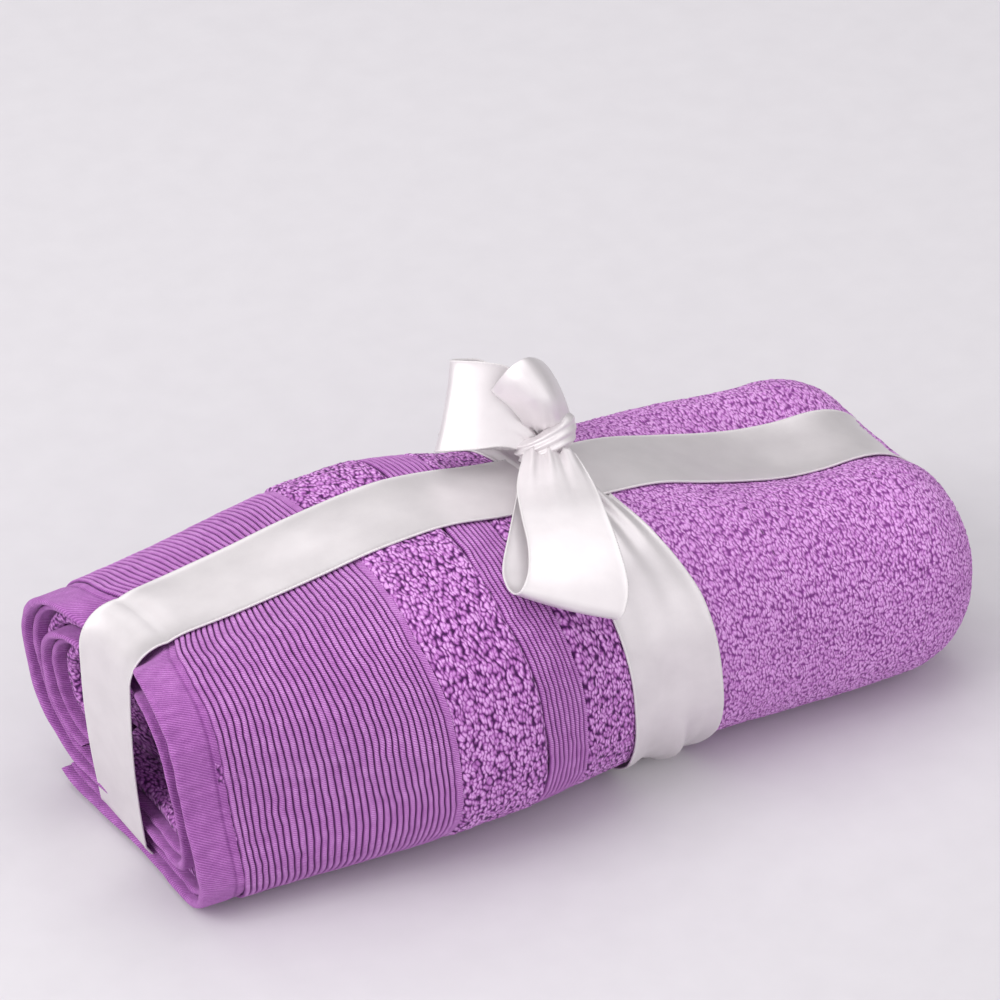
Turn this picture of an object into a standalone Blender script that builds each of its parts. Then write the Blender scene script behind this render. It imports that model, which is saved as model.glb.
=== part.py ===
"""Bath towel set: a bath towel folded in four and rolled round a folded hand towel, tied with satin ribbon.

Metres, +Z up. The roll lies along X, with its hems at -X, its folds at +X and its front at -Y.
The origin is on the underside of the ribbon, where the set rests, below the middle of the roll.
"""

import math

import bmesh
import bpy
from mathutils import Vector

# The roll.
ROLL_LENGTH = 0.346
CLOTH_THICKNESS = 0.0036
BATH_LAYERS = 4
BATH_TURNS = 2
HAND_SETBACK = 0.030
HEM_END_HEIGHT = 0.100
BELLY_HEIGHT = 0.113
WAIST_HEIGHT = 0.104
FOLD_END_HEIGHT = 0.088
HEM_END_WIDTH = 0.156
BELLY_WIDTH = 0.158
WAIST_WIDTH = 0.146
FOLD_END_WIDTH = 0.152
BELLY_X = -0.050
FOLD_END_RADIUS = 0.036
FOLD_END_SWEEP = math.radians(60)
FLOOR_SAG = 0.006
ROUNDNESS = 2.6
FREE_EDGE_ANGLE = math.radians(-50)
STEP_DOWN_FROM = 0.72

# The hems and the edges at the hem end.
HEM_WIDTH = 0.016
HEM_THICKNESS = 0.0030
BACK_HEM_SETBACK = 0.003
MIDDLE_FOLD_SETBACK = 0.007
HAND_HEM_WIDTH = 0.012

# The ribbon.
RIBBON_WIDTH = 0.040
RIBBON_THICKNESS = 0.0005
GATHERED_WIDTH = 0.022
GATHER_LENGTH = 0.055
KNOT_X = 0.016
RIBBON_Y = 0.006
KNOT_LENGTH = 0.026
KNOT_DEPTH = 0.022
KNOT_HEIGHT = 0.018
ROOT_WIDTH = 0.009
FRONT_LOOP_LENGTH = 0.071
FRONT_LOOP_OPENING = 0.015
FRONT_LOOP_DROOP = math.radians(45)
FRONT_LOOP_CREASE_RISE = 0.0015  # it folds along the top of its gathered root
REAR_LOOP_LENGTH = 0.033
REAR_LOOP_OPENING = 0.012
SHORT_TAIL_LENGTH = 0.024
REAR_TAIL_LENGTH = 0.050
REAR_TAIL_DROOP = math.radians(45)
OPENED_BY = 0.7
LOOP_ENDS_APART = 0.06  # the share of a loop's turn that its knot hides at each end
HUMP_RAMP = 0.004
UNDERSIDE_CORNER = 48  # degrees from straight down to where the girth ribbon leaves the floor

# Clearances between pieces.
PIECE_GAP = 0.0003
RIBBON_CLEARANCE = 0.0004
KNOT_CLEARANCE = 0.0008

# How finely the curves are stepped.
TURN_STEPS = 36
GIRTH_STEPS = 16
GIRTH_GAP_ANGLE = 0.5  # degrees
STATION_STEP = 0.030
FOLD_STEPS = 4
RIBBON_TURN_STEPS = 8
LOOP_STEPS = 22
TAIL_STEPS = 8

STACK_THICKNESS = BATH_LAYERS * CLOTH_THICKNESS
WINDING_PITCH = STACK_THICKNESS + PIECE_GAP
HEM_END_X = -ROLL_LENGTH / 2
FOLD_START_X = ROLL_LENGTH / 2 - FOLD_END_RADIUS * math.sin(FOLD_END_SWEEP)
BODY_START_X = HEM_END_X + HEM_WIDTH + PIECE_GAP
HAND_START_X = HEM_END_X + HAND_SETBACK
HAND_BODY_START_X = HAND_START_X + HAND_HEM_WIDTH + PIECE_GAP
UNDERSIDE = 2 * (RIBBON_THICKNESS + PIECE_GAP)
CUT_GAP_ANGLE = 4 * PIECE_GAP / BELLY_HEIGHT

TERRY = ("orchid_terry", (0.52, 0.17, 0.60, 1.0), 0.95)
FLAT_WEAVE = ("orchid_flat_weave", (0.56, 0.22, 0.64, 1.0), 0.85)
SATIN = ("silver_satin", (0.80, 0.76, 0.78, 1.0), 0.35)


def material_of(finish):
    """The Principled material of a finish: name, colour and roughness."""
    name, colour, roughness = finish
    material = bpy.data.materials.get(name)
    if material:
        return material
    material = bpy.data.materials.new(name)
    material.use_nodes = True
    shader = material.node_tree.nodes["Principled BSDF"]
    shader.inputs["Base Color"].default_value = colour
    shader.inputs["Roughness"].default_value = roughness
    shader.inputs["Metallic"].default_value = 0.0
    return material


def add_piece(name, shape, finish, origin=(0, 0, 0)):
    """A named object from a bmesh, with its own origin."""
    bmesh.ops.recalc_face_normals(shape, faces=shape.faces)
    bmesh.ops.translate(shape, verts=shape.verts, vec=-Vector(origin))
    mesh = bpy.data.meshes.new(name)
    shape.to_mesh(mesh)
    shape.free()
    piece = bpy.data.objects.new(name, mesh)
    piece.location = origin
    piece.data.materials.append(material_of(finish))
    bpy.context.scene.collection.objects.link(piece)
    return piece


def slab(face, back):
    """A closed slab between two grids of points of the same size. Nested slabs split their faces alike."""
    shape = bmesh.new()
    rows, columns = len(face), len(face[0])
    front = [[shape.verts.new(point) for point in row] for row in face]
    rear = [[shape.verts.new(point) for point in row] for row in back]
    for i in range(rows - 1):
        for j in range(columns - 1):
            for grid in (front, rear):
                shape.faces.new((grid[i][j], grid[i + 1][j], grid[i + 1][j + 1]))
                shape.faces.new((grid[i][j], grid[i + 1][j + 1], grid[i][j + 1]))
    for i in range(rows - 1):
        for j in (0, columns - 1):
            shape.faces.new((front[i][j], front[i + 1][j], rear[i + 1][j], rear[i][j]))
    for j in range(columns - 1):
        for i in (0, rows - 1):
            shape.faces.new((front[i][j], front[i][j + 1], rear[i][j + 1], rear[i][j]))
    return shape


def loft(rings):
    """A closed solid through rings of points, with flat ends."""
    shape = bmesh.new()
    loops = [[shape.verts.new(point) for point in ring] for ring in rings]
    count = len(loops[0])
    for near, far in zip(loops, loops[1:]):
        for k in range(count):
            after = (k + 1) % count
            shape.faces.new((near[k], near[after], far[after]))
            shape.faces.new((near[k], far[after], far[k]))
    shape.faces.new(loops[0])
    shape.faces.new(loops[-1])
    return shape


def eased(x, stations):
    """A value that passes level through each (x, value) station."""
    if x <= stations[0][0]:
        return stations[0][1]
    for (x0, value0), (x1, value1) in zip(stations, stations[1:]):
        if x <= x1:
            t = (x - x0) / (x1 - x0)
            return value0 + (value1 - value0) * t * t * (3 - 2 * t)
    return stations[-1][1]


HEIGHTS = (
    (HEM_END_X, HEM_END_HEIGHT),
    (BELLY_X, BELLY_HEIGHT),
    (KNOT_X, WAIST_HEIGHT),
    (FOLD_START_X, FOLD_END_HEIGHT),
)
WIDTHS = (
    (HEM_END_X, HEM_END_WIDTH),
    (BELLY_X, BELLY_WIDTH),
    (KNOT_X, WAIST_WIDTH),
    (FOLD_START_X, FOLD_END_WIDTH),
)


def body_stations():
    """Every x where a layer or a ribbon starts or ends, and steps between them, so that all share them."""
    fixed = {
        HEM_END_X,
        HEM_END_X + BACK_HEM_SETBACK,
        HEM_END_X + MIDDLE_FOLD_SETBACK,
        HEM_END_X + HEM_WIDTH,
        BODY_START_X,
        HAND_START_X,
        HAND_START_X + HAND_HEM_WIDTH,
        HAND_BODY_START_X,
        KNOT_X - RIBBON_WIDTH / 2,
        KNOT_X,
        KNOT_X + RIBBON_WIDTH / 2,
        FOLD_START_X,
    }
    ends = sorted(fixed)
    stations = [ends[0]]
    for start, end in zip(ends, ends[1:]):
        steps = max(1, math.ceil((end - start) / STATION_STEP))
        stations += [start + (end - start) * k / steps for k in range(1, steps + 1)]
    return stations


STATIONS = body_stations()


def between_stations(x, table):
    """The eased value, straight between neighbouring stations, so that nested layers stay parallel."""
    x = min(max(x, STATIONS[0]), STATIONS[-1])
    for start, end in zip(STATIONS, STATIONS[1:]):
        if x <= end:
            share = (x - start) / (end - start)
            return eased(start, table) * (1 - share) + eased(end, table) * share
    return eased(STATIONS[-1], table)


def roll_point(x, angle, depth):
    """A point of the roll's section at x, at a depth below its outer surface. Angle 0 is the back, 90 degrees the top.

    The cloth is pressed thinner where the roll is lower than at its belly."""
    height = between_stations(x, HEIGHTS)
    width = between_stations(x, WIDTHS)
    if depth > 0:
        depth *= (height + FLOOR_SAG) / (BELLY_HEIGHT + FLOOR_SAG)
    across = math.copysign(abs(math.cos(angle)) ** (2 / ROUNDNESS), math.cos(angle))
    up = math.copysign(abs(math.sin(angle)) ** (2 / ROUNDNESS), math.sin(angle))
    y = (width / 2 - depth) * across
    z = (height - FLOOR_SAG) / 2 + ((height + FLOOR_SAG) / 2 - depth) * up
    return Vector((x, y, UNDERSIDE + max(z, depth)))


def fold_end_point(sweep, angle, depth):
    """A point of the rounded fold end, swept from the body towards the middle of the end."""
    radius = max(FOLD_END_RADIUS - depth, CLOTH_THICKNESS / 4)
    point = roll_point(FOLD_START_X, angle, depth + radius * (1 - math.cos(sweep)))
    point.x = FOLD_START_X + radius * math.sin(sweep)
    return point


def winding(turns):
    """The angle and the depth of the stack's outer face, this many turns in from its free edge."""
    whole = math.floor(turns + 1e-9)
    part = turns - whole
    t = min(max((part - STEP_DOWN_FROM) / (1 - STEP_DOWN_FROM), 0), 1)
    return FREE_EDGE_ANGLE - 2 * math.pi * turns, WINDING_PITCH * (whole + t * t * (3 - 2 * t))


def wound_layer(start_turn, end_turn, depth, thickness, x_start, x_end, with_fold_end=False):
    """A layer of the wound stack, between two numbers of turns, as a closed slab."""
    steps = round((end_turn - start_turn) * TURN_STEPS)
    stations = [x for x in STATIONS if x_start - 1e-9 <= x <= x_end + 1e-9]
    sweeps = [FOLD_END_SWEEP * k / FOLD_STEPS for k in range(1, FOLD_STEPS + 1)] if with_fold_end else []
    faces = ([], [])
    for step in range(steps + 1):
        turns = start_turn + (end_turn - start_turn) * step / steps
        if step == steps:
            turns -= 1e-6
        angle, wound_depth = winding(turns)
        if step == 0 and start_turn > 0:
            angle -= CUT_GAP_ANGLE
        for rows, below in zip(faces, (depth, depth + thickness)):
            row = [roll_point(x, angle, wound_depth + below) for x in stations]
            row += [fold_end_point(sweep, angle, wound_depth + below) for sweep in sweeps]
            rows.append(row)
    return slab(*faces)


def snail_solid(x_start, x_end):
    """What the bath towel is wound round: a solid with the stack's inner step in its section."""
    rings = []
    for x in [x for x in STATIONS if x_start - 1e-9 <= x <= x_end + 1e-9]:
        ring = []
        for step in range(TURN_STEPS + 1):
            angle, depth = winding(BATH_TURNS + min(step / TURN_STEPS, 1 - 1e-6))
            if step in (0, TURN_STEPS):
                angle -= CUT_GAP_ANGLE
            ring.append(roll_point(x, angle, depth))
        rings.append(ring)
    return loft(rings)


def add_towels():
    """The bath towel's two turns and its edges at the hem end, and the hand towel inside them."""
    for number, name in enumerate(("bath_towel_outer_turn", "bath_towel_inner_turn")):
        turn = wound_layer(number, number + 1, 0, STACK_THICKNESS, BODY_START_X, FOLD_START_X, True)
        add_piece(name, turn, TERRY)
    hem_end = HEM_END_X + HEM_WIDTH
    hem = wound_layer(0, BATH_TURNS, 0, HEM_THICKNESS, HEM_END_X, hem_end)
    add_piece("bath_towel_front_hem", hem, FLAT_WEAVE)
    hem = wound_layer(0, BATH_TURNS, CLOTH_THICKNESS, HEM_THICKNESS, HEM_END_X + BACK_HEM_SETBACK, hem_end)
    add_piece("bath_towel_back_hem", hem, FLAT_WEAVE)
    fold_thickness = STACK_THICKNESS - 2 * CLOTH_THICKNESS
    fold_start = HEM_END_X + MIDDLE_FOLD_SETBACK
    fold = wound_layer(0, BATH_TURNS, 2 * CLOTH_THICKNESS, fold_thickness, fold_start, hem_end)
    add_piece("bath_towel_middle_fold", fold, TERRY)
    add_piece("hand_towel_hem", snail_solid(HAND_START_X, HAND_START_X + HAND_HEM_WIDTH), FLAT_WEAVE)
    add_piece("hand_towel_roll", snail_solid(HAND_BODY_START_X, FOLD_START_X), TERRY)


def strip_along(route):
    """A ribbon along points (x, z) of its inner face, which lies level across Y. Its outer face is on its left."""
    edges = (RIBBON_Y - RIBBON_WIDTH / 2, RIBBON_Y + RIBBON_WIDTH / 2)
    inner, outer = [], []
    for k, (x, z) in enumerate(route):
        before = route[max(k - 1, 0)]
        after = route[min(k + 1, len(route) - 1)]
        along = Vector((after[0] - before[0], after[1] - before[1])).normalized()
        out = (x - along.y * RIBBON_THICKNESS, z + along.x * RIBBON_THICKNESS)
        inner.append([Vector((x, y, z)) for y in edges])
        outer.append([Vector((out[0], y, out[1])) for y in edges])
    return slab(outer, inner)


def arc(centre, radius, start, end, steps):
    """Points (x, z) on an arc, with its angles in degrees from +X towards +Z."""
    angles = [math.radians(start + (end - start) * k / steps) for k in range(steps + 1)]
    return [(centre[0] + radius * math.cos(a), centre[1] + radius * math.sin(a)) for a in angles]


def top_route(x_start, x_end):
    """The long ribbon's inner face over the top of the roll."""
    xs = [x_start] + [x for x in STATIONS if x_start < x < x_end] + [x_end]
    return [(x, roll_point(x, math.pi / 2, -RIBBON_CLEARANCE).z) for x in xs]


def fold_end_route():
    """The long ribbon's inner face round the fold end, from the top to the underside."""
    low_clearance = UNDERSIDE - RIBBON_THICKNESS
    sweeps = [math.pi / 2 * k / RIBBON_TURN_STEPS for k in range(RIBBON_TURN_STEPS + 1)]
    route = []
    for sweep in sweeps:
        clearance = RIBBON_CLEARANCE + (low_clearance - RIBBON_CLEARANCE) * sweep / math.pi
        point = fold_end_point(sweep, math.pi / 2, -clearance)
        route.append((point.x + PIECE_GAP, point.z))
    for sweep in reversed(sweeps):
        clearance = low_clearance + (RIBBON_CLEARANCE - low_clearance) * sweep / math.pi
        point = fold_end_point(sweep, -math.pi / 2, -clearance)
        route.append((point.x + PIECE_GAP, point.z))
    return route


def add_long_ribbon():
    """The ribbon round the length of the roll, cut where it turns, and at the knot."""
    beside_knot = KNOT_LENGTH / 2 + PIECE_GAP
    top_left = top_route(HEM_END_X + PIECE_GAP, KNOT_X - beside_knot)
    add_piece("long_ribbon_top_left", strip_along(top_left), SATIN)
    top_right = top_route(KNOT_X + beside_knot, FOLD_START_X)
    add_piece("long_ribbon_top_right", strip_along(top_right), SATIN)

    over_rim = arc((HEM_END_X, UNDERSIDE + HEM_END_HEIGHT), RIBBON_CLEARANCE, 180, 100, 2)
    under_rim = arc((HEM_END_X, UNDERSIDE), UNDERSIDE - RIBBON_THICKNESS, 268, 180, 3)
    add_piece("long_ribbon_hem_end", strip_along(under_rim + over_rim), SATIN)
    add_piece("long_ribbon_fold_end", strip_along(fold_end_route()), SATIN)

    hump = RIBBON_THICKNESS + PIECE_GAP
    beside_girth = RIBBON_WIDTH / 2 + 2 * PIECE_GAP
    profile = (
        (FOLD_START_X, 0),
        (KNOT_X + beside_girth + HUMP_RAMP, 0),
        (KNOT_X + beside_girth, hump),
        (KNOT_X - beside_girth, hump),
        (KNOT_X - beside_girth - HUMP_RAMP, 0),
        (HEM_END_X + PIECE_GAP, 0),
    )
    underside = [(x, RIBBON_THICKNESS + rise) for x, rise in profile]
    add_piece("long_ribbon_underside", strip_along(underside), SATIN)


def girth_strip(start, end, clearance, widening=None):
    """A ribbon round the roll's girth between two angles, in degrees, with its edges on the roll's surface."""
    inner, outer = [], []
    for k in range(GIRTH_STEPS + 1):
        angle = math.radians(start + (end - start) * k / GIRTH_STEPS)
        half = RIBBON_WIDTH / 2 if widening is None else widening(angle)
        xs = [KNOT_X + half * side for side in (-1, -0.5, 0, 0.5, 1)]
        inner.append([roll_point(x, angle, -clearance) for x in xs])
        outer.append([roll_point(x, angle, -clearance - RIBBON_THICKNESS) for x in xs])
    return slab(outer, inner)


def gathered_half_width(angle):
    """The girth ribbon is gathered at the knot and opens to its full width down the side."""
    start = roll_point(KNOT_X, math.pi / 2, 0)
    t = min((roll_point(KNOT_X, angle, 0) - start).length / GATHER_LENGTH, 1)
    t = t * t * (3 - 2 * t)
    return (GATHERED_WIDTH * (1 - t) + RIBBON_WIDTH * t) / 2


def beside_knot_angle(side):
    """The angle, in degrees, where the girth ribbon clears the knot, at the front (-1) or at the back (1)."""
    angle = 90.0
    edge = side * RIBBON_Y + KNOT_DEPTH / 2 + PIECE_GAP
    while side * roll_point(KNOT_X, math.radians(angle), 0).y < edge:
        angle -= GIRTH_GAP_ANGLE * side
    return angle


def add_girth_ribbon():
    """The ribbon round the girth of the roll, below the knot."""
    front_corner, back_corner = 270 - UNDERSIDE_CORNER, -90 + UNDERSIDE_CORNER
    front = girth_strip(beside_knot_angle(-1), front_corner, RIBBON_CLEARANCE, gathered_half_width)
    add_piece("girth_ribbon_front", front, SATIN)
    back = girth_strip(beside_knot_angle(1), back_corner, RIBBON_CLEARANCE, gathered_half_width)
    add_piece("girth_ribbon_back", back, SATIN)
    start, end = front_corner + GIRTH_GAP_ANGLE, 360 + back_corner - GIRTH_GAP_ANGLE
    under = girth_strip(start, end, UNDERSIDE - RIBBON_THICKNESS)
    add_piece("girth_ribbon_underside", under, SATIN)


KNOT_CENTRE = Vector((
    KNOT_X,
    RIBBON_Y,
    UNDERSIDE + WAIST_HEIGHT + RIBBON_CLEARANCE + RIBBON_THICKNESS + KNOT_CLEARANCE + KNOT_HEIGHT / 2,
))


def knot_surface(direction):
    """The point of the knot's surface in this direction from its centre, and the direction itself."""
    direction = Vector(direction).normalized()
    half = (KNOT_LENGTH / 2, KNOT_DEPTH / 2, KNOT_HEIGHT / 2)
    reach = 1 / math.sqrt(sum((d / h) ** 2 for d, h in zip(direction, half)))
    return KNOT_CENTRE + direction * (reach + KNOT_CLEARANCE), direction


def add_knot():
    shape = bmesh.new()
    bmesh.ops.create_uvsphere(shape, u_segments=16, v_segments=10, radius=0.5)
    bmesh.ops.scale(shape, verts=shape.verts, vec=(KNOT_LENGTH, KNOT_DEPTH, KNOT_HEIGHT))
    bmesh.ops.translate(shape, verts=shape.verts, vec=KNOT_CENTRE)
    add_piece("bow_knot", shape, SATIN, KNOT_CENTRE)


def opened_width(t):
    """A bow's ribbon is gathered at its root and opens to its full width on its way out."""
    t = min(t / OPENED_BY, 1)
    t = t * t * (3 - 2 * t)
    return ROOT_WIDTH * (1 - t) + RIBBON_WIDTH * t


def bent_frame(root, direction, across, length, droop, share):
    """The point, direction and normal at a share of a length that leaves the root and droops by an angle."""
    normal = across.cross(direction)
    turned = droop * share
    if droop:
        ahead, down = math.sin(turned) / droop, (1 - math.cos(turned)) / droop
    else:
        ahead, down = share, 0
    point = root + (direction * ahead - normal * down) * length
    along = direction * math.cos(turned) - normal * math.sin(turned)
    return point, along, across.cross(along)


def squared_to(direction, across):
    """The part of a width direction that is square to the way the ribbon leaves the knot."""
    across = Vector(across)
    return (across - direction * across.dot(direction)).normalized()


def add_loop(name, direction, across, length, opening, droop=0.0, crease_rise=0.0):
    """A bow loop: out from the knot, round its fold and back, with its width lying across."""
    root, direction = knot_surface(direction)
    across = squared_to(direction, across)
    first = LOOP_ENDS_APART
    shares, points = [], []
    for k in range(LOOP_STEPS + 1):
        t = 2 * math.pi * (first + (1 - 2 * first) * k / LOOP_STEPS)
        out = (1 - math.cos(t)) / 2
        start = (1 - math.cos(2 * math.pi * first)) / 2
        centre, _, normal = bent_frame(root, direction, across, length, droop, out - start)
        shares.append(out)
        points.append(centre + normal * (opening / 2 * math.sin(t) * math.sqrt(out)))
    inner, outer = [], []
    for k, (out, point) in enumerate(zip(shares, points)):
        along = points[min(k + 1, LOOP_STEPS)] - points[max(k - 1, 0)]
        outward = across.cross(along).normalized()
        half = opened_width(out) / 2
        inner.append([point + across * (half * side) for side in (-1, 0, 1)])
        outer.append([point + outward * RIBBON_THICKNESS + across * (half * side) for side in (-1, 0, 1)])
    add_piece(name, slab(outer, inner), SATIN, root + Vector((0, 0, crease_rise)))


def add_tail(name, direction, across, length, droop=0.0):
    """A loose end of the ribbon, out from the knot."""
    root, direction = knot_surface(direction)
    across = squared_to(direction, across)
    face, back = [], []
    for k in range(TAIL_STEPS + 1):
        share = k / TAIL_STEPS
        point, _, normal = bent_frame(root, direction, across, length, droop, share)
        half = opened_width(share) / 2
        face.append([point + across * (half * side) for side in (-1, 0, 1)])
        back.append([point + normal * RIBBON_THICKNESS + across * (half * side) for side in (-1, 0, 1)])
    add_piece(name, slab(face, back), SATIN, root)


def add_bow():
    """The knot, its two loops and its two loose ends."""
    add_knot()
    out, across = (-0.45, -0.88, 0.14), (-0.85, 0.35, 0.38)
    size = (FRONT_LOOP_LENGTH, FRONT_LOOP_OPENING, FRONT_LOOP_DROOP)
    add_loop("bow_front_loop", out, across, *size, FRONT_LOOP_CREASE_RISE)
    out, across = (-0.64, 0.69, 0.36), (0.27, 0.05, 0.96)
    add_loop("bow_rear_loop", out, across, REAR_LOOP_LENGTH, REAR_LOOP_OPENING)
    out, across = (-0.02, 0.50, 0.86), (0.80, 0.50, -0.27)
    add_tail("bow_short_tail", out, across, SHORT_TAIL_LENGTH)
    out, across = (0.15, 0.98, 0.0), (0.98, -0.15, 0.0)
    add_tail("bow_rear_tail", out, across, REAR_TAIL_LENGTH, REAR_TAIL_DROOP)


def main():
    for old in list(bpy.data.objects):
        bpy.data.objects.remove(old)
    add_towels()
    add_long_ribbon()
    add_girth_ribbon()
    add_bow()


main()
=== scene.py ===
import math

import bpy
import numpy as np
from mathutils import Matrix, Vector


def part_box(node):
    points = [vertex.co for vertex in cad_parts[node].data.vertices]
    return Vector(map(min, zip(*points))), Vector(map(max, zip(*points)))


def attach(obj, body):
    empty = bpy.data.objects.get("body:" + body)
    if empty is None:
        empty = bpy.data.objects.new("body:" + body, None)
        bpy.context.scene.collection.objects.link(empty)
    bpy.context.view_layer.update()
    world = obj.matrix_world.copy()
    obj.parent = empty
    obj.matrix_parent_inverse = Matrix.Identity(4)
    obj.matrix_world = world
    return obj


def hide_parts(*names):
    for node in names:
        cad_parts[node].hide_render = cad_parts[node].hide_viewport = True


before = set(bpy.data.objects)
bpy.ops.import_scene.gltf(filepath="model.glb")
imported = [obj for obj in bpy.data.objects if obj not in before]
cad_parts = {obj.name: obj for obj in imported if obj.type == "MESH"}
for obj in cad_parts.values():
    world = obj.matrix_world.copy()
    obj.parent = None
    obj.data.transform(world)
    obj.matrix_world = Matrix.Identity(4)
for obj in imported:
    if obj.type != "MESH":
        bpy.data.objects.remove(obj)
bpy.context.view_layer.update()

# Sizes of the roll, in metres.
HEM_END_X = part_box("bath_towel_front_hem")[0][0]
FOLD_START_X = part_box("hand_towel_roll")[1][0]
HAND_START_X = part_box("hand_towel_hem")[0][0]
KNOT_X = sum(corner[0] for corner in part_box("bow_knot")) / 2
RIBBON_LOW_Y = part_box("long_ribbon_top_left")[0][1]
RIBBON_HIGH_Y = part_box("long_ribbon_top_left")[1][1]
RIBBON_Y = (RIBBON_LOW_Y + RIBBON_HIGH_Y) / 2
RIBBON_WIDTH = RIBBON_HIGH_Y - RIBBON_LOW_Y
UNDERSIDE = 0.0016
BELLY_X = -0.050
BELLY_HEIGHT = 0.113
HEIGHTS = ((HEM_END_X, 0.100), (BELLY_X, BELLY_HEIGHT), (KNOT_X, 0.104), (FOLD_START_X, 0.088))
WIDTHS = ((HEM_END_X, 0.156), (BELLY_X, 0.158), (KNOT_X, 0.139), (FOLD_START_X, 0.146))
FLOOR_SAG = 0.006
ROUNDNESS = 2.6
FREE_EDGE_ANGLE = math.radians(-50)
STEP_DOWN_FROM = 0.72
LAYER = 0.0036
LAYERS = 4
STACK = LAYER * LAYERS
WINDING_PITCH = STACK + 0.0003
BATH_TURNS = 2
FOLD_END_RADIUS = 0.036
FOLD_END_SWEEP = math.radians(60)

# Where the cloth changes along the roll, and the ribs of its borders.
HEM_WIDTH = 0.0175
HEM_SEAM = 0.0145
RIB_PITCH = 0.00222
RIB_STEPS = (0, 0.08, 0.17, 0.30, 0.5, 0.70, 0.83, 0.92)
RIB_HEIGHT = 0.0013
WIDE_BORDER_RIBS = 33
NARROW_BORDER_RIBS = 9
WIDE_BORDER_START = HEM_END_X + HEM_WIDTH
WIDE_BORDER_END = WIDE_BORDER_START + WIDE_BORDER_RIBS * RIB_PITCH
PLAIN_STRIP = 0.0030
NARROW_BORDER_START = -0.0420
NARROW_BORDER_END = NARROW_BORDER_START + NARROW_BORDER_RIBS * RIB_PITCH

# How far the cloth leans, tucks in, sags and is pressed.
SKEW = 0.011
HEM_TUCK = 0.026
TOP_LEAN = 0.0075
BACK_LEAN = 0.0065
FOOT_LEAN = 0.0015
BULGE_LEAN = 0.002
RIM_REACH = 0.022
RIM_PRESS = 0.0075
RIBBON_PRESS = 0.0012
RIBBON_SINK = 0.0160
BACK_SAG = 0.004
BROAD_SWELL = 0.0012
FINE_SWELL = 0.0006
FAR_SWELL = 0.0025


# Noise on the cloth.

def hashed(i, j, k, seed):
    """A repeatable number from 0 to 1 for each whole-numbered cell."""
    n = (i * 73856093) ^ (j * 19349663) ^ (k * 83492791) ^ (seed * 2654435761)
    n = (n ^ (n >> 13)) * 1274126177
    n = n ^ (n >> 16)
    return (n & 0xFFFFFF) / float(0xFFFFFF)


def drift(x, y, z, size, seed=0):
    """Smooth noise from -1 to 1, with features of this size."""
    x, y, z = np.broadcast_arrays(np.asarray(x) / size, np.asarray(y) / size, np.asarray(z) / size)
    i, j, k = (np.floor(v).astype(np.int64) for v in (x, y, z))
    u, v, w = x - i, y - j, z - k
    u, v, w = (t * t * (3 - 2 * t) for t in (u, v, w))
    total = 0.0
    for a in (0, 1):
        for b in (0, 1):
            for c in (0, 1):
                share = (u if a else 1 - u) * (v if b else 1 - v) * (w if c else 1 - w)
                total = total + share * hashed(i + a, j + b, k + c, seed)
    return total * 2 - 1


def loops_of_pile(u, v, long, wide, seed):
    """Rounded loops scattered on the cloth: their height, from 0 in the gaps to 1, and a shade for each."""
    turn = 0.9 * drift(u, v, 0, 3.1 * long, seed + 5)
    stray_u = 0.35 * long * drift(u, v, 1, 1.7 * long, seed + 1)
    stray_v = 0.35 * long * drift(u, v, 2, 1.7 * long, seed + 2)
    u, v = u + stray_u, v + stray_v
    i, j = np.floor(u / wide).astype(np.int64), np.floor(v / long).astype(np.int64)
    nearest = np.full(u.shape, 9.0)
    shade = np.zeros(u.shape)
    for a in (-1, 0, 1):
        for b in (-1, 0, 1):
            cu = (i + a + 0.15 + 0.7 * hashed(i + a, j + b, 0, seed)) * wide
            cv = (j + b + 0.15 + 0.7 * hashed(i + a, j + b, 1, seed)) * long
            du, dv = u - cu, v - cv
            along, across = du * np.sin(turn) + dv * np.cos(turn), du * np.cos(turn) - dv * np.sin(turn)
            distance = np.hypot(across / wide, along / long)
            closer = distance < nearest
            nearest = np.where(closer, distance, nearest)
            shade = np.where(closer, hashed(i + a, j + b, 2, seed), shade)
    return np.sqrt(np.clip(1 - (nearest / 0.74) ** 2, 0, 1)), shade


# The roll's shape.

def eased(x, stations):
    """A value that passes level through each (x, value) station."""
    xs, values = np.array(stations).T
    x = np.clip(x, xs[0], xs[-1])
    i = np.clip(np.searchsorted(xs, x, side="right") - 1, 0, len(xs) - 2)
    t = (x - xs[i]) / (xs[i + 1] - xs[i])
    t = t * t * (3 - 2 * t)
    return values[i] * (1 - t) + values[i + 1] * t


def ramp(x, start, end):
    t = np.clip((x - start) / (end - start), 0, 1)
    return t * t * (3 - 2 * t)


def softened_max(a, b, blend):
    return (a + b + np.sqrt((a - b) ** 2 + blend**2)) / 2


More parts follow.
